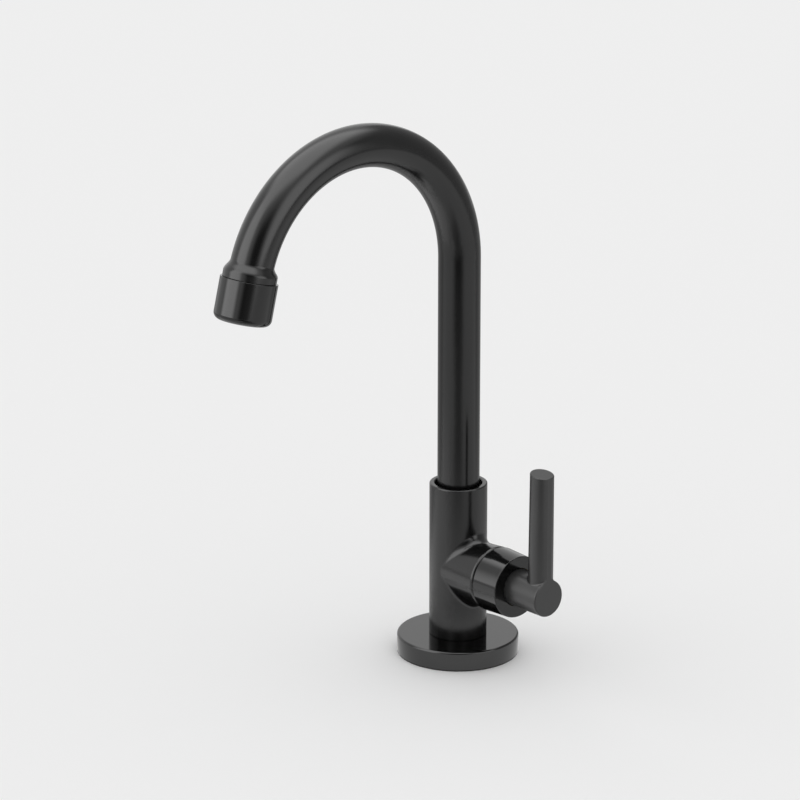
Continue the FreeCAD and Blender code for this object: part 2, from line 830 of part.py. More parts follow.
def make_aerator_diffuser():
    """Cup with a ring of jets, standing on the outlet grid's rim."""
    top = grid_start() - diffuser_height
    outer = housing_bore() - braze_gap
    cup = turned([
        (top, 0),
        (top, outer),
        (grid_start(), outer),
        (grid_start(), outer - diffuser_wall),
        (top + diffuser_plate, outer - diffuser_wall),
        (top + diffuser_plate, 0),
    ], outlet_axis)
    jets = []
    for step in range(diffuser_jets):
        turn = 2 * math.pi * step / diffuser_jets
        centre = Vector(top, diffuser_jet_circle * math.cos(turn), diffuser_jet_circle * math.sin(turn))
        jet = Part.makeCylinder(diffuser_jet_radius, diffuser_plate, centre, Vector(1, 0, 0))
        jet.Placement = outlet_axis
        jets.append(jet)
    return cut_all(cup, jets)


def make_aerator_grid():
    outer = housing_bore() - braze_gap
    grid = rod(grid_start(), grid_height, outer, outlet_axis)
    holes = square_holes(grid_start(), grid_height, grid_cell, grid_pitch, outer - diffuser_wall)
    return cut_all(grid, holes)


pieces = {
    "base_flange": make_base_flange,
    "deck_gasket": make_deck_gasket,
    "threaded_shank": make_threaded_shank,
    "shank_seal": make_shank_seal,
    "clamp_washer_rubber": make_rubber_washer,
    "clamp_washer_metal": make_metal_washer,
    "locknut": make_locknut,
    "tap_body": make_tap_body,
    "headwork_body": make_headwork_body,
    "headwork_gasket": make_headwork_gasket,
    "seat_seal": make_seat_seal,
    "ceramic_disc_fixed": make_fixed_disc,
    "ceramic_disc_moving": make_moving_disc,
    "valve_spindle": make_spindle,
    "spindle_o_rings": make_spindle_rings,
    "friction_washer": make_friction_washer,
    "spindle_clip": make_spindle_clip,
    "bonnet_cover": make_bonnet_cover,
    "lever_handle": make_lever_handle,
    "handle_grub_screw": make_handle_grub,
    "spout_tube": make_spout_tube,
    "spout_foot": make_spout_foot,
    "spout_o_rings": make_spout_rings,
    "spout_thrust_washer": make_thrust_washer,
    "spout_bearing_ring": make_bearing_ring,
    "spout_retaining_screw": make_retaining_screw,
    "outlet_insert": make_outlet_insert,
    "aerator_cap": make_aerator_cap,
    "aerator_seal": make_aerator_seal,
    "aerator_housing": make_aerator_housing,
    "aerator_screen": make_aerator_screen,
    "aerator_diffuser": make_aerator_diffuser,
    "aerator_grid": make_aerator_grid,
}

os.makedirs("parts", exist_ok=True)
for name, make in pieces.items():
    shape = make()
    shape.exportStep(f"parts/{name}.step")
    print(name, "solids", len(shape.Solids), "valid", shape.isValid(), "volume", round(shape.Volume, 1))
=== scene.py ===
import json
import math

import bmesh
import bpy
import numpy as np
from mathutils import Matrix, Vector


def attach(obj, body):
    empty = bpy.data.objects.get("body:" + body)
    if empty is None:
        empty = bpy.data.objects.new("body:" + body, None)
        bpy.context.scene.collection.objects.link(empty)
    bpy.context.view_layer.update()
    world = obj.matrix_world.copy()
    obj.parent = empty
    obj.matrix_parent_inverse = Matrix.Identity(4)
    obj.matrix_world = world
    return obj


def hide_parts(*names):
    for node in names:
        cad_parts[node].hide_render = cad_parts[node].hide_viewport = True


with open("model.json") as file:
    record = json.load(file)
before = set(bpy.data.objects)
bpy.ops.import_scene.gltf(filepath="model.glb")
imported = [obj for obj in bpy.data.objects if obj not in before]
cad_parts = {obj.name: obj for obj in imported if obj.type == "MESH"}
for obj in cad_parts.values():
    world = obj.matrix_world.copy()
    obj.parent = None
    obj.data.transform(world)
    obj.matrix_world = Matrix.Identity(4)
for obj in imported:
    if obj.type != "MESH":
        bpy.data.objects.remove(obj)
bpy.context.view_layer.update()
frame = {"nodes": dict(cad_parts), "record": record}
nodes = frame["nodes"]
slotOf = {part["node"]: part["material_slot"] for part in frame["record"]["subparts"]}
mm = 0.001
tiny = 1e-9                        # no divisor is less than this
print("frame loaded,", len(nodes), "nodes")

# Places and sizes that several pieces share, in millimetres, as the CAD has them
tap = {
    "flangeTop": 9.0,
    "bodyTop": 81.1,
    "bodyRadius": 13.1,
    "socketRadius": 10.75,
    "valveHeight": 41.8,
    "branchReach": 25.9,
    "coverStart": 26.5,
    "coverFront": 40.4,
    "hubFront": 60.4,
    "hubRadius": 8.45,
    "tubeBottom": 69.4,
    "tubeRadius": 9.525,
    "tubeWall": 1.0,
    "bendStart": 186.25,
    "bendRadius": 60.2,
    "bendAngle": 166.0,
    "shankRadius": 10.478,
}


def linear(hexColour):
    channels = [int(hexColour[i:i + 2], 16) / 255 for i in (1, 3, 5)]
    return [c / 12.92 if c <= 0.04045 else ((c + 0.055) / 1.055) ** 2.4 for c in channels] + [1.0]


def addNode(tree, kind, inputs=None, **settings):
    node = tree.nodes.new(kind)
    for key, value in settings.items():
        setattr(node, key, value)
    for key, value in (inputs or {}).items():
        socket = node.inputs[key]
        if isinstance(value, bpy.types.NodeSocket):
            tree.links.new(value, socket)
        else:
            socket.default_value = value
    return node


def newMaterial(name):
    material = bpy.data.materials.new(name)
    material.use_nodes = True
    material.node_tree.nodes.clear()
    return material, material.node_tree


materials = {}

# Nearly all of a noise texture's values lie between these two
noiseLow, noiseHigh = 0.3, 0.7

# Black lacquer, sprayed on polished brass and baked: deep black under a thin wet gloss that softens the
# edges of the lamps, with a faint orange peel. Flange and cover were polished most.
lacquer = {
    "cloudMm": 14.0,               # slow drift of the gloss along the spray gun's path
    "peelMm": 1.3,
    "grainMm": 0.16,               # the brass's polishing grain, showing through
    "grainShare": 0.12,            # of the peel's depth
    "pieces": {                    # colours, roughness from and to, depth of the peel in millimetres
        "coated_flange": ("blackLacquerFlange", ("#090909", "#0b0b0b"), (0.07, 0.1), 0.0006),
        "coated_body": ("blackLacquerBody", ("#090909", "#0c0c0c"), (0.2, 0.24), 0.001),
        "coated_cover": ("blackLacquerCover", ("#090909", "#0c0c0c"), (0.09, 0.13), 0.0008),
        # The lever's lighter grey is partly its satin finish and partly painted light: it stands for the
        # extra light that falls on the lever, whose lacquer is the same black as the rest.
        "coated_lever": ("blackLacquerLever", ("#272727", "#2b2b2b"), (0.3, 0.34), 0.001),
        "coated_tube": ("blackLacquerTube", ("#090909", "#0c0c0c"), (0.18, 0.22), 0.001),
        "coated_cap": ("blackLacquerCap", ("#080808", "#0a0a0a"), (0.09, 0.12), 0.001),
    },
}


def makeLacquer(name, colours, roughness, peelDepth):
    material, tree = newMaterial(name)
    coords = addNode(tree, "ShaderNodeTexCoord").outputs["Object"]
    cloud = addNode(tree, "ShaderNodeTexNoise", {
        "Vector": coords, "Scale": 1 / (lacquer["cloudMm"] * mm), "Detail": 3.0}).outputs["Fac"]
    peel = addNode(tree, "ShaderNodeTexNoise", {
        "Vector": coords, "Scale": 1 / (lacquer["peelMm"] * mm)}).outputs["Fac"]
    grain = addNode(tree, "ShaderNodeTexNoise", {
        "Vector": coords, "Scale": 1 / (lacquer["grainMm"] * mm), "Detail": 3.0, "Roughness": 0.6,
    }).outputs["Fac"]
    colour = addNode(tree, "ShaderNodeMix", {
        "Factor": cloud, "A": linear(colours[0]), "B": linear(colours[1]),
    }, data_type="RGBA").outputs["Result"]
    gloss = addNode(tree, "ShaderNodeMapRange", {
        "Value": cloud, "From Min": noiseLow, "From Max": noiseHigh,
        "To Min": roughness[0], "To Max": roughness[1]}).outputs["Result"]
    fine = addNode(tree, "ShaderNodeBump", {
        "Height": grain, "Strength": 1.0,
        "Distance": peelDepth * lacquer["grainShare"] * mm}).outputs["Normal"]
    skin = addNode(tree, "ShaderNodeBump", {
        "Height": peel, "Strength": 1.0, "Distance": peelDepth * mm, "Normal": fine}).outputs["Normal"]
    shader = addNode(tree, "ShaderNodeBsdfPrincipled", {
        "Base Color": colour, "Roughness": gloss, "IOR": 1.5, "Normal": skin}).outputs["BSDF"]
    addNode(tree, "ShaderNodeOutputMaterial", {"Surface": shader})
    return material


for slotName, settings in lacquer["pieces"].items():
    materials[slotName] = makeLacquer(*settings)

# Bare metals, cut or pressed. Lathe lines run round the tap's axis, as coarse as the render can show.
bareMetals = {
    # Yellow brass off the lathe: warm, a little dulled by air, with rings of light in its tool lines
    "turned_brass": {
        "name": "brassTurned", "colours": ("#c9a766", "#b9924f"), "roughness": (0.2, 0.34),
        "lineMm": 0.3, "depthMm": 0.0025, "cloudMm": 6.0,
    },
    # Pressed steel with bright zinc: cool grey and cloudy
    "zinc_steel": {
        "name": "steelZincPlated", "colours": ("#c4c8cc", "#aeb3b9"), "roughness": (0.28, 0.42),
        "lineMm": 0.6, "depthMm": 0.002, "cloudMm": 3.0,
    },
    # Stainless steel, machine cut: grey with a warm cast and a fine, even sheen
    "stainless": {
        "name": "stainlessSteelCut", "colours": ("#b9b7b3", "#a8a6a2"), "roughness": (0.24, 0.34),
        "lineMm": 0.25, "depthMm": 0.0012, "cloudMm": 5.0,
    },
}


def makeBareMetal(look):
    material, tree = newMaterial(look["name"])
    coords = addNode(tree, "ShaderNodeTexCoord").outputs["Object"]
    flat = addNode(tree, "ShaderNodeVectorMath", {0: coords, 1: (1, 1, 0)},
                   operation="MULTIPLY").outputs["Vector"]
    reach = addNode(tree, "ShaderNodeVectorMath", {0: flat}, operation="LENGTH").outputs["Value"]
    height = addNode(tree, "ShaderNodeSeparateXYZ", {"Vector": coords}).outputs["Z"]
    rings = addNode(tree, "ShaderNodeCombineXYZ", {"X": reach, "Z": height}).outputs["Vector"]
    lines = addNode(tree, "ShaderNodeTexNoise", {
        "Vector": rings, "Scale": 1 / (look["lineMm"] * mm), "Detail": 4.0, "Roughness": 0.6}).outputs["Fac"]
    cloud = addNode(tree, "ShaderNodeTexNoise", {
        "Vector": coords, "Scale": 1 / (look["cloudMm"] * mm), "Detail": 4.0}).outputs["Fac"]
    colour = addNode(tree, "ShaderNodeMix", {
        "Factor": cloud, "A": linear(look["colours"][0]), "B": linear(look["colours"][1]),
    }, data_type="RGBA").outputs["Result"]
    sheen = addNode(tree, "ShaderNodeMapRange", {
        "Value": lines, "From Min": noiseLow, "From Max": noiseHigh,
        "To Min": look["roughness"][0], "To Max": look["roughness"][1]}).outputs["Result"]
    skin = addNode(tree, "ShaderNodeBump", {
        "Height": lines, "Strength": 1.0, "Distance": look["depthMm"] * mm}).outputs["Normal"]
    shader = addNode(tree, "ShaderNodeBsdfPrincipled", {
        "Base Color": colour, "Metallic": 1.0, "Roughness": sheen, "Normal": skin}).outputs["BSDF"]
    addNode(tree, "ShaderNodeOutputMaterial", {"Surface": shader})
    return material


# Moulded, pressed and fired pieces: one colour with a slight mottle, and the mould's grain.
# Name, colours, roughness from and to, grain and its depth in millimetres, IOR
mottleMm = 5.0
mouldings = {
    # EPDM rubber out of a steel mould: matt black-grey, no sharp highlights
    "black_rubber": ("rubberEpdmMoulded", ("#191919", "#222221"), (0.55, 0.72), 0.3, 0.006, 1.52),
    # Vulcanised fibre, punched from sheet: dry brown red
    "fibre": ("fibreVulcanisedPunched", ("#7a3526", "#6a2b20"), (0.6, 0.75), 0.4, 0.01, 1.5),
    # Alumina, fired and lapped flat: warm white with a wet shine
    "ceramic": ("aluminaCeramicLapped", ("#efece3", "#e8e4da"), (0.12, 0.2), 0.2, 0.0005, 1.76),
    # Acetal, injection moulded: soft waxy sheen, in natural white, black and grey
    "white_acetal": ("acetalWhiteMoulded", ("#e6e5df", "#dddbd4"), (0.35, 0.45), 0.3, 0.002, 1.48),
    "black_acetal": ("acetalBlackMoulded", ("#1a1a1b", "#222223"), (0.35, 0.45), 0.3, 0.002, 1.48),
    "grey_acetal": ("acetalGreyMoulded", ("#86888a", "#7b7d80"), (0.38, 0.48), 0.3, 0.002, 1.48),
}


def makeMoulding(name, colours, roughness, grainMm, depthMm, ior):
    material, tree = newMaterial(name)
    coords = addNode(tree, "ShaderNodeTexCoord").outputs["Object"]
    mottle = addNode(tree, "ShaderNodeTexNoise", {
        "Vector": coords, "Scale": 1 / (mottleMm * mm), "Detail": 4.0}).outputs["Fac"]
    grain = addNode(tree, "ShaderNodeTexNoise", {
        "Vector": coords, "Scale": 1 / (grainMm * mm), "Detail": 3.0, "Roughness": 0.6}).outputs["Fac"]
    colour = addNode(tree, "ShaderNodeMix", {
        "Factor": mottle, "A": linear(colours[0]), "B": linear(colours[1]),
    }, data_type="RGBA").outputs["Result"]
    sheen = addNode(tree, "ShaderNodeMapRange", {
        "Value": grain, "From Min": noiseLow, "From Max": noiseHigh,
        "To Min": roughness[0], "To Max": roughness[1]}).outputs["Result"]
    skin = addNode(tree, "ShaderNodeBump", {
        "Height": grain, "Strength": 1.0, "Distance": depthMm * mm}).outputs["Normal"]
    shader = addNode(tree, "ShaderNodeBsdfPrincipled", {
        "Base Color": colour, "Roughness": sheen, "IOR": ior, "Normal": skin}).outputs["BSDF"]
    addNode(tree, "ShaderNodeOutputMaterial", {"Surface": shader})
    return material


for slotName, look in bareMetals.items():
    materials[slotName] = makeBareMetal(look)
for slotName, settings in mouldings.items():
    materials[slotName] = makeMoulding(*settings)
print("materials made,", len(materials))


# An object from points in millimetres, with one normal for each face corner, in place of a CAD node
def meshPiece(name, body, node, points, faces, normals):
    mesh = bpy.data.meshes.new(name)
    mesh.from_pydata([Vector(p) * mm for p in points], [], faces)
    mesh.polygons.foreach_set("use_smooth", [True] * len(faces))
    mesh.normals_split_custom_set(normals)
    piece = bpy.data.objects.new(name, mesh)
    bpy.context.scene.collection.objects.link(piece)
    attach(piece, body)
    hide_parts(node)
    mesh.materials.append(materials[slotOf[node]])


# Closed section from (along, radius, rounding) corners, as (along, radius, normal before, normal after)
def roundedOutline(corners, arcStep=9):
    flat = [Vector(corner[:2]) for corner in corners]
    area = sum(a.cross(b) for a, b in zip(flat, flat[1:] + flat[:1]))
    if area < 0:
        corners = corners[::-1]
        flat = flat[::-1]
    outline = []
    for i, corner in enumerate(flat):
        rounding = corners[i][2]
        before = (corner - flat[i - 1]).normalized()
        after = (flat[(i + 1) % len(flat)] - corner).normalized()
        normalBefore = Vector((before.y, -before.x))
        normalAfter = Vector((after.y, -after.x))
        turn = math.atan2(before.cross(after), before.dot(after))
        if rounding == 0:
            outline.append((corner.x, corner.y, normalBefore, normalAfter))
            continue
        signed = math.copysign(rounding, turn)
        start = corner - before * rounding * math.tan(abs(turn) / 2)
        centre = start - normalBefore * signed
        steps = max(2, math.ceil(abs(math.degrees(turn)) / arcStep))
        for step in range(steps + 1):
            angle = turn * step / steps
            normal = Matrix.Rotation(angle, 2) @ normalBefore
            point = centre + normal * signed
            outline.append((point.x, point.y, normal, normal))
    return outline


# Turned piece: a closed section swept once about an axis
def turnedPiece(name, body, node, corners, origin, axis, around=128):
    outline = roundedOutline(corners)
    axis = Vector(axis).normalized()
    across = axis.orthogonal().normalized()
    beside = axis.cross(across)
    radials = [across * math.cos(t) + beside * math.sin(t)
               for t in (2 * math.pi * k / around for k in range(around))]
    origin = Vector(origin)
    points = [origin + axis * s[0] + radial * s[1] for radial in radials for s in outline]
    count = len(outline)
    faces, normals = [], []
    for k, radial in enumerate(radials):
        nextRadial = radials[(k + 1) % around]
        for i, (start, end) in enumerate(zip(outline, outline[1:] + outline[:1])):
            j = (i + 1) % count
            other = (k + 1) % around * count
            faces.append((k * count + i, k * count + j, other + j, other + i))
            for spot, which, turn in ((start, 3, radial), (end, 2, radial), (end, 2, nextRadial),
                                      (start, 3, nextRadial)):
                normals.append(axis * spot[which].x + turn * spot[which].y)
    meshPiece(name, body, node, points, faces, normals)


# Base flange: turned ring, soft top edge, gasket recess underneath
flange = {
    "radius": 27.7,
    "edgeRound": 0.9,
    "footRound": 0.25,
    "boreGap": 0.3,
    "boreRound": 0.2,
    "recess": (16.95, 25.05, 2.4),     # inner radius, outer radius, depth
}
recessInner, recessOuter, recessDepth = flange["recess"]
boreRadius = tap["shankRadius"] + flange["boreGap"]
turnedPiece("baseFlange", "base", "base_flange", [
    (0, boreRadius, flange["boreRound"]),
    (0, recessInner, 0),
    (recessDepth, recessInner, 0),
    (recessDepth, recessOuter, 0),
    (0, recessOuter, 0),
    (0, flange["radius"], flange["footRound"]),
    (tap["flangeTop"], flange["radius"], flange["edgeRound"]),
    (tap["flangeTop"], boreRadius, 0),
], (0, 0, 0), (0, 0, 1), around=192)

# Threaded shank: G1/2 thread cut in one helix, a relief groove above the inlet's share of it
shank = {
    "bottom": -52.0,
    "top": 21.0,
    "boreRadius": 7.0,
    "pitch": 1.814,
    "threadDepth": 1.162,
    "chamfer": 0.9,
    "inletThread": 14.0,
    "reliefWidth": 1.6,
    "reliefDepth": 1.1,
    "around": 72,
    "rowsPerTurn": 8,
    "leastRise": 1e-6,             # rows that lie closer than this are one row
}


def makeThreadedShank():
    around, rowsPerTurn, pitch = shank["around"], shank["rowsPerTurn"], shank["pitch"]
    bottom, top, full = shank["bottom"], shank["top"], tap["shankRadius"]
    least = shank["leastRise"]
    groove = bottom + shank["chamfer"] + shank["inletThread"]
    rows = math.ceil((top - bottom) / pitch + 1) * rowsPerTurn + 1
    row, column = np.mgrid[0:rows, 0:around]
    height = bottom + ((row / rowsPerTurn) + column / around - 1) * pitch
    height = np.clip(height, bottom, top)
    # Flanks at 55 degrees with rounded crests and roots, near enough a cosine
    radius = full - shank["threadDepth"] * (1 - np.cos(2 * np.pi * row / rowsPerTurn)) / 2
    chamfered = full - shank["chamfer"] + np.minimum(height - bottom, top - height)
    inGroove = (height > groove) & (height < groove + shank["reliefWidth"])
    radius = np.minimum(radius, np.minimum(chamfered, full))
    radius = np.where(inGroove, np.minimum(radius, full - shank["reliefDepth"]), radius)
    turn = 2 * np.pi * column / around
    radial = np.stack([np.cos(turn), np.sin(turn), np.zeros_like(turn)], 2)
    rise = np.gradient(height, axis=0)
    slope = np.where(rise > least, np.gradient(radius, axis=0) / np.maximum(rise, least), 0)
    outward = radial - slope[:, :, None] * np.array((0, 0, 1))
    outward /= np.linalg.norm(outward, axis=2)[:, :, None]
    outer = radial * radius[:, :, None]
    outer[:, :, 2] = height
    points = list(outer.reshape(-1, 3))
    faces, normals = [], []
    for i in range(rows - 1):
        for k in range(around):
            across = (0, k + 1) if k + 1 < around else (rowsPerTurn, 0)
            low, high = min(i + across[0], rows - 1), min(i + 1 + across[0], rows - 1)
            quad = [(i, k), (low, across[1]), (high, across[1]), (i + 1, k)]
            heights = [height[spot] for spot in quad]
            if max(heights) - min(heights) < least:
                continue
            faces.append([spot[0] * around + spot[1] for spot in quad])
            normals += [outward[spot] for spot in quad]
    ends = []
    for z in (bottom, top):
        ends.append(len(points))
        for size in (full - shank["chamfer"], shank["boreRadius"]):
            points += [(size * math.cos(t), size * math.sin(t), z) for t in turn[0]]
    for start, facing in zip(ends, (-1, 1)):
        for k in range(around):
            j = (k + 1) % around
            quad = (start + k, start + j, start + around + j, start + around + k)
            faces.append(quad if facing < 0 else quad[::-1])
            normals += [(0, 0, facing)] * 4
    for k in range(around):
        j = (k + 1) % around
        a, b = ends[0] + around + k, ends[0] + around + j
        c, d = ends[1] + around + j, ends[1] + around + k
        faces.append((a, b, c, d)[::-1])
        normals += [-radial[0, spot] for spot in (k, j, j, k)][::-1]
    return points, faces, normals


# Points that fall together become one; a face keeps its remaining corners and their normals
def joinedPoints(points, faces, normals, decimals=5):
    keys, order, place = {}, [], []
    for point in points:
        key = tuple(round(float(c), decimals) for c in point)
        if key not in keys:
            keys[key] = len(order)
            order.append(point)
        place.append(keys[key])
    keptFaces, keptNormals, corner = [], [], 0
    for face in faces:
        spots = [place[v] for v in face]
        pairs = [(spot, normals[corner + i]) for i, spot in enumerate(spots) if spot not in spots[:i]]
        corner += len(face)
        if len(pairs) > 2:
            keptFaces.append([spot for spot, _ in pairs])
            keptNormals += [normal for _, normal in pairs]
    return order, keptFaces, keptNormals


points, faces, normals = makeThreadedShank()
meshPiece("threadedShank", "base", "threaded_shank", *joinedPoints(points, faces, normals))
print("flange and threaded shank made")

# Bonnet cover: turned cup over the headwork's hexagon, slightly tapered
cover = {
    "rearRadius": 14.8,
    "frontRadius": 14.2,
    "wall": 1.7,
    "faceThickness": 3.2,
    "edgeRound": 0.4,
    "rearRound": 0.2,
    "cavityRound": 0.1,
    "mouthRadius": 8.7,
    "mouthRound": 0.2,
    "bossRadius": 9.05,
    "hexEnd": 31.4,
}
cavity = cover["rearRadius"] - cover["wall"]
faceStart = tap["coverFront"] - cover["faceThickness"]
turnedPiece("bonnetCover", "base", "bonnet_cover", [
    (tap["coverStart"], cavity, cover["cavityRound"]),
    (tap["coverStart"], cover["rearRadius"], cover["rearRound"]),
    (tap["coverFront"], cover["frontRadius"], cover["edgeRound"]),
    (tap["coverFront"], cover["mouthRadius"], cover["mouthRound"]),
    (faceStart, cover["mouthRadius"], 0),
    (faceStart, cover["bossRadius"], 0),
    (cover["hexEnd"], cover["bossRadius"], 0),
    (cover["hexEnd"], cavity, 0),
], (0, 0, tap["valveHeight"]), (1, 0, 0))

# Gooseneck spout: bent tube with a swaged end
spout = {
    "flareRadius": 11.75,
    "flareLength": 4.6,
    "skirt": 2.4,                  # straight part below the flare
    "skirtStep": 0.02,             # its first ring stands this far below the flare's last
    "straightStations": 9,
    "bendStations": 100,
    "flareStations": 16,
    "around": 96,
}


def bendPoint(degrees):
    turn = math.radians(degrees)
    reach = tap["bendRadius"]
    return Vector((0, reach * (math.cos(turn) - 1), tap["bendStart"] + reach * math.sin(turn)))


def bendDirection(degrees):
    turn = math.radians(degrees)
    return Vector((0, -math.sin(turn), math.cos(turn)))


# (centre, direction, outer radius, radius slope, curvature) from the tube's foot to its lip
def spoutStations():
    bend = 1 / tap["bendRadius"]
    flareStart = tap["bendAngle"] - math.degrees(spout["flareLength"] * bend)
    growth = spout["flareRadius"] - tap["tubeRadius"]
    up = Vector((0, 0, 1))
    stations = [(Vector((0, 0, z)), up, tap["tubeRadius"], 0, 0)
                for z in np.linspace(tap["tubeBottom"], tap["bendStart"], spout["straightStations"])]
    for share in np.linspace(0, 1, spout["bendStations"] + 1)[1:]:
        angle = flareStart * share
        stations.append((bendPoint(angle), bendDirection(angle), tap["tubeRadius"], 0, bend))
    for share in np.linspace(0, 1, spout["flareStations"] + 1)[1:]:
        angle = flareStart + (tap["bendAngle"] - flareStart) * share
        radius = tap["tubeRadius"] + growth * (1 - math.cos(math.pi * share)) / 2
        slope = growth * math.pi * math.sin(math.pi * share) / 2 / spout["flareLength"]
        stations.append((bendPoint(angle), bendDirection(angle), radius, slope, bend))
    down = bendDirection(tap["bendAngle"])
    lip = bendPoint(tap["bendAngle"])
    for reach in (spout["skirtStep"], spout["skirt"]):
        stations.append((lip + down * reach, down, spout["flareRadius"], 0, 0))
    return stations


def makeSpoutTube():
    stations = spoutStations()
    around = spout["around"]
    side = Vector((1, 0, 0))
    bendSign = 1 if bendDirection(1).cross(side).y > 0 else -1
    points, outward = [], []
    for inset, facing in ((0, 1), (tap["tubeWall"], -1)):
        for centre, direction, radius, slope, bend in stations:
            front = direction.cross(side)
            for k in range(around):
                turn = 2 * math.pi * k / around
                radial = side * math.cos(turn) + front * math.sin(turn)
                stretch = 1 + bend * (radius - inset) * math.sin(turn) * bendSign
                points.append(centre + radial * (radius - inset))
                outward.append((radial - direction * slope / stretch).normalized() * facing)
    count = len(stations)
    faces, normals = [], []
    for layer in (0, 1):
        for i in range(count - 1):
            for k in range(around):
                a = (layer * count + i) * around + k
                b = (layer * count + i) * around + (k + 1) % around
                quad = (a, b, b + around, a + around) if layer == 0 else (a, a + around, b + around, b)
                faces.append(quad)
                normals += [outward[v] for v in quad]
    for i, direction, flip in ((0, -stations[0][1], True), (count - 1, stations[-1][1], False)):
        for k in range(around):
            a = i * around + k
            b = i * around + (k + 1) % around
            c = a + count * around
            d = b + count * around
            faces.append((a, c, d, b) if flip else (a, b, d, c))
            normals += [direction] * 4
    meshPiece("spoutTube", "spout", "spout_tube", points, faces, normals)


makeSpoutTube()

# Aerator cap: turned, with a round lower edge and an inner thread shoulder
cap = {
    "radius": 12.6,
    "length": 18.8,
    "gap": 0.25,
    "bottomRound": 3.0,
    "topRound": 0.2,
    "lip": 2.0,
    "outletRadius": 9.1,
    "outletRound": 0.2,
    "boreRadius": 10.4,
    "threadRadius": 11.0,
    "threadLength": 6.8,
}
outletStart = bendPoint(tap["bendAngle"]) + bendDirection(tap["bendAngle"]) * spout["skirt"]
ledge = cap["length"] - cap["lip"]
turnedPiece("aeratorCap", "spout", "aerator_cap", [
    (cap["gap"], cap["threadRadius"], 0),
    (cap["gap"], cap["radius"], cap["topRound"]),
    (cap["length"], cap["radius"], cap["bottomRound"]),
    (cap["length"], cap["outletRadius"], cap["outletRound"]),
    (ledge, cap["outletRadius"], 0),
    (ledge, cap["boreRadius"], 0),
    (cap["threadLength"], cap["boreRadius"], 0),
    (cap["threadLength"], cap["threadRadius"], 0),
], outletStart, bendDirection(tap["bendAngle"]))
print("cover, spout and aerator cap made")


# Body and lever are the CAD's own facets, with the true normals of the surfaces that they lie on.
# Each surface gives a point's distance from it and the normal there.
def axisFrame(points, origin, axis):
    apart = points - np.array(origin)
    height = apart @ axis
    radial = apart - np.outer(height, axis)
    reach = np.linalg.norm(radial, axis=1)
    return height, reach, radial / np.maximum(reach, tiny)[:, None]


# Cylinder, or cone whose radius grows by slope along its axis; facing -1 for a bore
def coneSurface(origin, axis, radius, slope=0.0, facing=1):
    axis = np.array(axis, float)
    lean = math.hypot(1, slope)

    def surface(points):
        height, reach, radial = axisFrame(points, origin, axis)
        return (reach - radius - slope * height) / lean, facing * (radial - slope * axis) / lean
    return surface


def planeSurface(point, normal):
    normal = np.array(normal, float)

    def surface(points):
        return (points - np.array(point)) @ normal, np.tile(normal, (len(points), 1))
    return surface


# Surface of a ball rolled along a closed line: an edge's round, or a corner's fillet with facing -1
def ballSurface(centres, radius, facing=1):
    spans = np.roll(centres, -1, axis=0) - centres
    lengths = np.maximum((spans ** 2).sum(1), tiny)

    def surface(points):
        share = ((points[:, None] - centres) * spans).sum(2) / lengths
        nearest = centres + np.clip(share, 0, 1)[:, :, None] * spans
        apart = points[:, None] - nearest
        reach = np.linalg.norm(apart, axis=2)
        best = reach.argmin(1)
        rows = np.arange(len(points))
        out = apart[rows, best] / np.maximum(reach[rows, best], tiny)[:, None]
        return reach[rows, best] - radius, facing * out
    return surface


def aroundAxis(axis, count):
    across = np.array(Vector(axis).orthogonal().normalized())
    beside = np.cross(axis, across)
    turns = np.linspace(0, 2 * math.pi, count, endpoint=False)
    return np.outer(np.cos(turns), across) + np.outer(np.sin(turns), beside)


# How a rolling ball's centres are found: points round the axis, and how each one's search goes
rolling = {"around": 240, "step": 1e-4, "damping": 0.8, "rounds": 30}


# The ball's line: it keeps its own distance from each of two surfaces, all the way round an axis. The guess
# is a height along the axis and a distance from it.
def ballCentres(origin, axis, first, firstGap, second, secondGap, guess):
    axis = np.array(axis, float)
    radial = aroundAxis(axis, rolling["around"])
    spot = np.tile(np.array(guess, float), (rolling["around"], 1))
    step = rolling["step"]

    def place(spot):
        return np.array(origin) + spot[:, :1] * axis + spot[:, 1:] * radial

    def miss(spot):
        points = place(spot)
        return np.stack([first(points)[0] - firstGap, second(points)[0] - secondGap], 1)

    for _ in range(rolling["rounds"]):
        error = miss(spot)
        slopes = np.stack([(miss(spot + step * np.eye(2)[i]) - error) / step for i in (0, 1)], 2)
        spot = spot - rolling["damping"] * np.linalg.solve(slopes, error[:, :, None])[:, :, 0]
    return place(spot)


def roundCentres(origin, axis, height, radius):
    axis = np.array(axis, float)
    return np.array(origin) + height * axis + radius * aroundAxis(axis, rolling["around"])


# How a facet is matched to the surface that it lies on
matching = {"weldMm": 0.001, "nearMm": 0.03, "cosine": 0.85}


def finePiece(name, body, node, surfaces):
    work = bmesh.new()
    work.from_mesh(nodes[node].data)
    bmesh.ops.remove_doubles(work, verts=work.verts, dist=matching["weldMm"] * mm)
    points = np.array([v.co for v in work.verts]) / mm
    faces = [[v.index for v in face.verts] for face in work.faces]
    flat = np.array([face.normal for face in work.faces])
    work.free()
    corners = np.concatenate(faces)
    counts = np.array([len(face) for face in faces])
    starts = np.concatenate([[0], np.cumsum(counts)[:-1]])
    middles = np.add.reduceat(points[corners], starts) / counts[:, None]
    owner = np.full(len(faces), -1)
    closest = np.full(len(faces), matching["nearMm"])
    fields = []
    for number, surface in enumerate(surfaces):
        away, out = surface(points)
        fields.append(out)
        worst = np.maximum.reduceat(abs(away)[corners], starts)
        agree = (surface(middles)[1] * flat).sum(1) > matching["cosine"]
        better = agree & (worst < closest)
        owner[better] = number
        closest[better] = worst[better]
    normals = []
    for face, number, plain in zip(faces, owner, flat):
        normals += [fields[number][v] for v in face] if number >= 0 else [plain] * len(face)
    print(name, "facets", len(faces), "on known surfaces", int((owner >= 0).sum()))
    meshPiece(name, body, node, points, faces, normals)


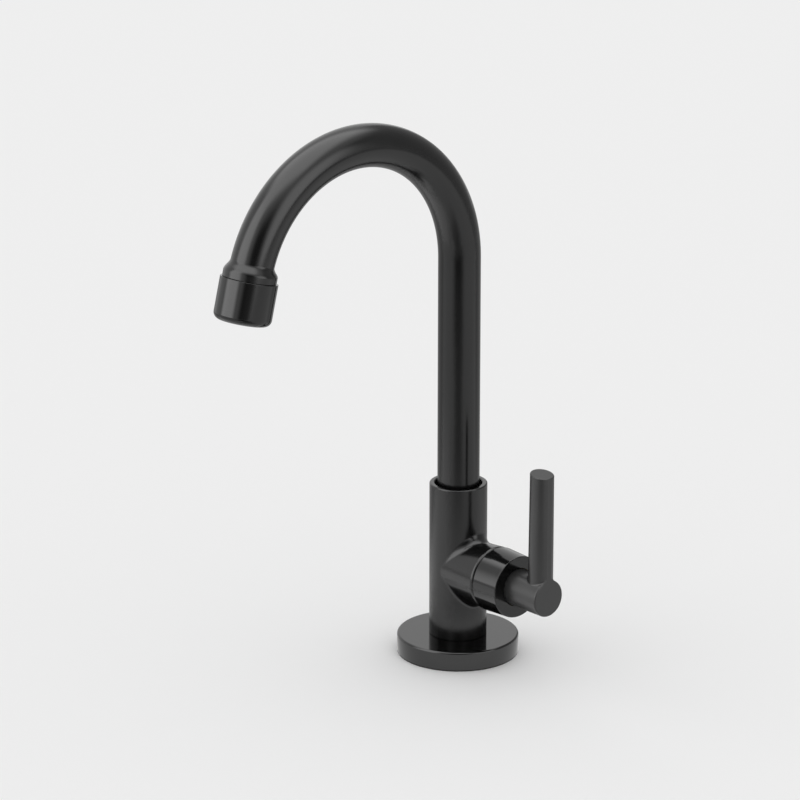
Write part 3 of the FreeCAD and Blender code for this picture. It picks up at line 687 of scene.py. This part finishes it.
# Tap body: upright column with the valve branch, a cast fillet at its root
tapBody = {
    "filletRadius": 4.2,
    "filletGuess": 9.0,            # a height on the branch to start the search for the fillet at
    "branchRoot": 12.7,            # radius where its cone would meet the tap's axis
    "branchEnd": 14.7,
    "branchRound": 1.6,
    "rimRound": 0.6,
    "footRound": 0.3,
}


def makeTapBody():
    valve = (0, 0, tap["valveHeight"])
    foot, upright, branchAxis = (0, 0, 0), (0, 0, 1), (1, 0, 0)
    slope = (tapBody["branchEnd"] - tapBody["branchRoot"]) / tap["branchReach"]
    column = coneSurface(foot, upright, tap["bodyRadius"])
    branch = coneSurface(valve, branchAxis, tapBody["branchRoot"], slope)
    rolled = tapBody["filletRadius"]
    fillet = ballCentres(valve, branchAxis, column, rolled, branch, rolled,
                         (tapBody["filletGuess"], tapBody["branchRoot"] + rolled))
    endHeight = tap["branchReach"] - tapBody["branchRound"]
    endRadius = tapBody["branchRoot"] + slope * endHeight - tapBody["branchRound"] * math.hypot(1, slope)
    rimRound, footRound = tapBody["rimRound"], tapBody["footRound"]
    rim = tap["bodyTop"] - rimRound
    finePiece("tapBody", "base", "tap_body", [
        column,
        branch,
        ballSurface(fillet, rolled, -1),
        ballSurface(roundCentres(valve, branchAxis, endHeight, endRadius), tapBody["branchRound"]),
        ballSurface(roundCentres(foot, upright, rim, tap["bodyRadius"] - rimRound), rimRound),
        ballSurface(roundCentres(foot, upright, rim, tap["socketRadius"] + rimRound), rimRound),
        ballSurface(roundCentres(foot, upright, tap["flangeTop"] + footRound,
                                 tap["bodyRadius"] - footRound), footRound),
        coneSurface(foot, upright, tap["socketRadius"], facing=-1),
    ])


# Lever: round hub on the valve's spindle, round bar rising from it, cut off on a slant
lever = {
    "rootRadius": 5.65,
    "tipRadius": 5.35,
    "flatDepth": 0.15,
    "rise": 57.2,
    "topSlope": 9.5,
    "topRound": 0.5,
    "rootFillet": 1.2,
    "hubRound": 0.8,
}


def makeLever():
    slant = math.radians(lever["topSlope"])
    length = lever["rise"] + 2 * lever["tipRadius"] * math.tan(slant)
    taper = (lever["tipRadius"] - lever["rootRadius"]) / length
    lean = math.atan(-taper)
    foot = (tap["hubFront"] - lever["rootRadius"] + lever["flatDepth"], 0, tap["valveHeight"])
    axis = (math.sin(lean), 0, math.cos(lean))
    valve, hubAxis = (0, 0, tap["valveHeight"]), (1, 0, 0)
    hub = coneSurface(valve, hubAxis, tap["hubRadius"])
    bar = coneSurface(foot, axis, lever["rootRadius"], taper)
    peak = (foot[0], 0, foot[2] + lever["rise"])
    top = planeSurface(peak, (math.sin(slant), 0, math.cos(slant)))
    rootLine = ballCentres(foot, axis, hub, lever["rootFillet"], bar, lever["rootFillet"],
                           (tap["hubRadius"], lever["rootRadius"] + lever["rootFillet"]))
    topLine = ballCentres(foot, axis, top, -lever["topRound"], bar, -lever["topRound"],
                          (lever["rise"], lever["tipRadius"]))
    finePiece("leverHandle", "handle", "lever_handle", [
        hub,
        bar,
        top,
        planeSurface((tap["hubFront"], 0, 0), hubAxis),
        ballSurface(rootLine, lever["rootFillet"], -1),
        ballSurface(topLine, lever["topRound"]),
        ballSurface(roundCentres(valve, hubAxis, tap["hubFront"] - lever["hubRound"],
                                 tap["hubRadius"] - lever["hubRound"]), lever["hubRound"]),
    ])


makeTapBody()
makeLever()
print("body and lever made")

# Every other CAD node keeps its mesh and takes its slot's material
for nodeName, node in nodes.items():
    node.data.materials.clear()
    node.data.materials.append(materials[slotOf[nodeName]])
print("materials given to the CAD's nodes")

# Studio. Turns are in degrees from the camera's side, + towards the picture's right; the rest is in metres.
view = {
    "azimuth": 49.12,
    "pitch": 17.77,                # degrees down
    "distance": 1.6975,            # along the floor from the tap's axis
    "aside": 0.02637,              # the axis stands this far right of the middle
    "height": 0.6638,
    "lens": 179.0,
    "sensorWidth": 36.0,
    "farthest": 100.0,
}
studio = {
    "floorReach": 9.0,
    "floorAround": 128,
    "floorColour": "#f4f4f4",
    "skyColour": "#ffffff",
    "skyLight": 0.95,
    "backdrop": 1.0,
    "secondGlow": 0.2,             # of every card, in a reflection of a reflection
    "secondDepth": 1.5,            # a ray's depth is 1 in a reflection and 2 in a reflection of it
}
# Softboxes, white cards and flags (dark cards) stand round the tap and show in its gloss alone.
# A tilt of 90 lays a card flat.
cards = {
    "overheadSoftbox": {"turn": -90, "reach": 0.3, "height": 2.2, "size": (3.9, 3.9), "edge": (1.0, 1.0),
                        "tilt": 90, "glow": 3.0},
    "leftSoftbox": {"turn": -64, "reach": 2.0, "height": 1.75, "size": (2.5, 4.6), "edge": (0.65, 0.7),
                    "tilt": 0, "glow": 3.35},
    "rightSoftbox": {"turn": 51, "reach": 2.0, "height": 0.5, "size": (2.1, 2.8), "edge": (0.6, 0.9),
                     "tilt": 0, "glow": 2.25},
    "frontFlag": {"turn": 1, "reach": 2.6, "height": 0.95, "size": (2.9, 3.9), "edge": (1.0, 1.6),
                  "tilt": 0, "glow": 0.05},
    "backFlag": {"turn": 121, "reach": 2.2, "height": 1.2, "size": (5.2, 3.6), "edge": (0.4, 0.8),
                 "tilt": 0, "glow": 0.38},
    "frontFloorFlag": {"turn": -6, "reach": 1.05, "height": 0.0004, "size": (0.84, 1.4), "edge": (0.28, 0.25),
                       "tilt": 90, "glow": 0.04},
    "nearFloorFlag": {"turn": -3, "reach": 0.38, "height": 0.0005, "size": (0.36, 0.42), "edge": (0.14, 0.1),
                      "tilt": 90, "glow": 0.3},
    "backFloorFlag": {"turn": 180, "reach": 0.85, "height": 0.0003, "size": (1.8, 1.7), "edge": (0.2, 0.15),
                      "tilt": 90, "glow": 0.45},
    "rightFloorFlag": {"turn": 100, "reach": 1.9, "height": 0.0002, "size": (2.6, 2.4), "edge": (0.3, 0.3),
                       "tilt": 90, "glow": 0.4},
    "leftFloorCard": {"turn": -75, "reach": 0.2, "height": 0.00055, "size": (0.3, 0.34), "edge": (0.08, 0.08),
                      "tilt": 90, "glow": 1.2},
}
# White card under the tap's foot, in metres; it greys from front to back.
deckCard = {
    "glow": 1.35,
    "backGlow": 0.5,
    "front": 0.035,                # the greying starts this far in front of the tap's axis
    "back": 0.02,                  # and ends this far behind it
    "reach": 0.075,
    "edge": 0.03,
    "lift": 0.0006,
    "around": 96,
}


def glossOnly(thing):
    thing.visible_camera = False
    thing.visible_diffuse = False
    thing.visible_shadow = False
    thing.visible_transmission = False
    thing.visible_volume_scatter = False


# A card glows where shown is 1 and is clear where it is 0. Its glow dims where one piece shows another
# piece's gloss, so that black mirrors black.
def dressCard(thing, material, shown, strength):
    tree = material.node_tree
    depth = addNode(tree, "ShaderNodeLightPath").outputs["Ray Depth"]
    second = addNode(tree, "ShaderNodeMath", {0: depth, 1: studio["secondDepth"]},
                     operation="GREATER_THAN").outputs["Value"]
    dimmed = addNode(tree, "ShaderNodeMix", {
        "Factor": second, "A": strength, "B": studio["secondGlow"]}).outputs["Result"]
    glow = addNode(tree, "ShaderNodeEmission", {"Strength": dimmed}).outputs["Emission"]
    clear = addNode(tree, "ShaderNodeBsdfTransparent").outputs["BSDF"]
    mix = addNode(tree, "ShaderNodeMixShader", {0: shown, 1: clear, 2: glow}).outputs["Shader"]
    addNode(tree, "ShaderNodeOutputMaterial", {"Surface": mix})
    thing.data.materials.append(material)
    glossOnly(thing)


def turnedAway(degrees):
    turn = math.radians(view["azimuth"] + degrees)
    return Vector((math.sin(turn), -math.cos(turn), 0))


# Cloth or card that fades out over its edge, so that its reflection has no hard border
def makeCard(name, card):
    width, height = card["size"]
    bpy.ops.mesh.primitive_plane_add(size=1)
    thing = bpy.context.object
    thing.name = name
    for corner in thing.data.vertices:
        corner.co.x *= width
        corner.co.y *= height
    outwards = turnedAway(card["turn"])
    thing.location = outwards * card["reach"] + Vector((0, 0, card["height"]))
    tilt = math.radians(90 - card["tilt"])
    thing.rotation_euler = (tilt, 0, math.radians(view["azimuth"] + card["turn"]))
    material, tree = newMaterial(name)
    coords = addNode(tree, "ShaderNodeTexCoord").outputs["Object"]
    spots = addNode(tree, "ShaderNodeSeparateXYZ", {"Vector": coords}).outputs
    shown = None
    for axis, size, edge in (("X", width, card["edge"][0]), ("Y", height, card["edge"][1])):
        away = addNode(tree, "ShaderNodeMath", {0: spots[axis]}, operation="ABSOLUTE").outputs["Value"]
        fade = addNode(tree, "ShaderNodeMapRange", {
            "Value": away, "From Min": size / 2 - edge, "From Max": size / 2, "To Min": 1.0, "To Max": 0.0,
        }, interpolation_type="SMOOTHSTEP").outputs["Result"]
        shown = fade if shown is None else addNode(
            tree, "ShaderNodeMath", {0: shown, 1: fade}, operation="MULTIPLY").outputs["Value"]
    dressCard(thing, material, shown, card["glow"])


def makeDeckCard():
    bpy.ops.mesh.primitive_circle_add(vertices=deckCard["around"], radius=deckCard["reach"], fill_type="NGON",
                                      location=(0, 0, deckCard["lift"]),
                                      rotation=(0, 0, math.radians(view["azimuth"])))
    thing = bpy.context.object
    thing.name = "deckCard"
    material, tree = newMaterial("deckCard")
    coords = addNode(tree, "ShaderNodeTexCoord").outputs["Object"]
    away = addNode(tree, "ShaderNodeVectorMath", {0: coords}, operation="LENGTH").outputs["Value"]
    shown = addNode(tree, "ShaderNodeMapRange", {
        "Value": away, "From Min": deckCard["reach"] - deckCard["edge"], "From Max": deckCard["reach"],
        "To Min": 1.0, "To Max": 0.0}, interpolation_type="SMOOTHSTEP").outputs["Result"]
    behind = addNode(tree, "ShaderNodeSeparateXYZ", {"Vector": coords}).outputs["Y"]
    slope = addNode(tree, "ShaderNodeMapRange", {
        "Value": behind, "From Min": -deckCard["front"], "From Max": deckCard["back"],
        "To Min": deckCard["glow"], "To Max": deckCard["backGlow"]}).outputs["Result"]
    dressCard(thing, material, shown, slope)


# Paper sweep, plain and matt; from below it lets the view through
def makeFloor():
    bpy.ops.mesh.primitive_circle_add(vertices=studio["floorAround"], radius=studio["floorReach"],
                                      fill_type="NGON")
    floor = bpy.context.object
    floor.name = "floor"
    material, tree = newMaterial("paperSweepMatt")
    paper = addNode(tree, "ShaderNodeBsdfPrincipled", {
        "Base Color": linear(studio["floorColour"]), "Roughness": 0.9, "Specular IOR Level": 0.0,
    }).outputs["BSDF"]
    clear = addNode(tree, "ShaderNodeBsdfTransparent").outputs["BSDF"]
    below = addNode(tree, "ShaderNodeNewGeometry").outputs["Backfacing"]
    mix = addNode(tree, "ShaderNodeMixShader", {0: below, 1: paper, 2: clear}).outputs["Shader"]
    addNode(tree, "ShaderNodeOutputMaterial", {"Surface": mix})
    floor.data.materials.append(material)


def makeSky():
    world = bpy.data.worlds.new("studioWhite")
    bpy.context.scene.world = world
    world.use_nodes = True
    tree = world.node_tree
    tree.nodes.clear()
    path = addNode(tree, "ShaderNodeLightPath").outputs
    seen = addNode(tree, "ShaderNodeMath", {0: path["Is Camera Ray"], 1: path["Is Glossy Ray"]},
                   operation="ADD", use_clamp=True).outputs["Value"]
    shown = addNode(tree, "ShaderNodeMath", {0: seen, 1: path["Is Transmission Ray"]},
                    operation="ADD", use_clamp=True).outputs["Value"]
    light = addNode(tree, "ShaderNodeBackground", {
        "Color": linear(studio["skyColour"]), "Strength": studio["skyLight"]}).outputs["Background"]
    backdrop = addNode(tree, "ShaderNodeBackground", {
        "Color": linear(studio["skyColour"]), "Strength": studio["backdrop"]}).outputs["Background"]
    mix = addNode(tree, "ShaderNodeMixShader", {0: shown, 1: light, 2: backdrop}).outputs["Shader"]
    addNode(tree, "ShaderNodeOutputWorld", {"Surface": mix})


def makeCamera():
    pitch = math.radians(view["pitch"])
    towards, right = turnedAway(0), turnedAway(90)
    camera = bpy.data.objects.new("camera", bpy.data.cameras.new("camera"))
    bpy.context.scene.collection.objects.link(camera)
    camera.location = towards * view["distance"] - right * view["aside"] + Vector((0, 0, view["height"]))
    look = -towards * math.cos(pitch) - Vector((0, 0, math.sin(pitch)))
    camera.rotation_mode = "QUATERNION"
    camera.rotation_quaternion = look.to_track_quat("-Z", "Y")
    camera.data.lens = view["lens"]
    camera.data.sensor_width = view["sensorWidth"]
    camera.data.clip_end = view["farthest"]
    bpy.context.scene.camera = camera


makeFloor()
makeDeckCard()
for name, card in cards.items():
    makeCard(name, card)
makeSky()
makeCamera()
bpy.context.scene.view_settings.view_transform = "Standard"
print("studio and camera made")
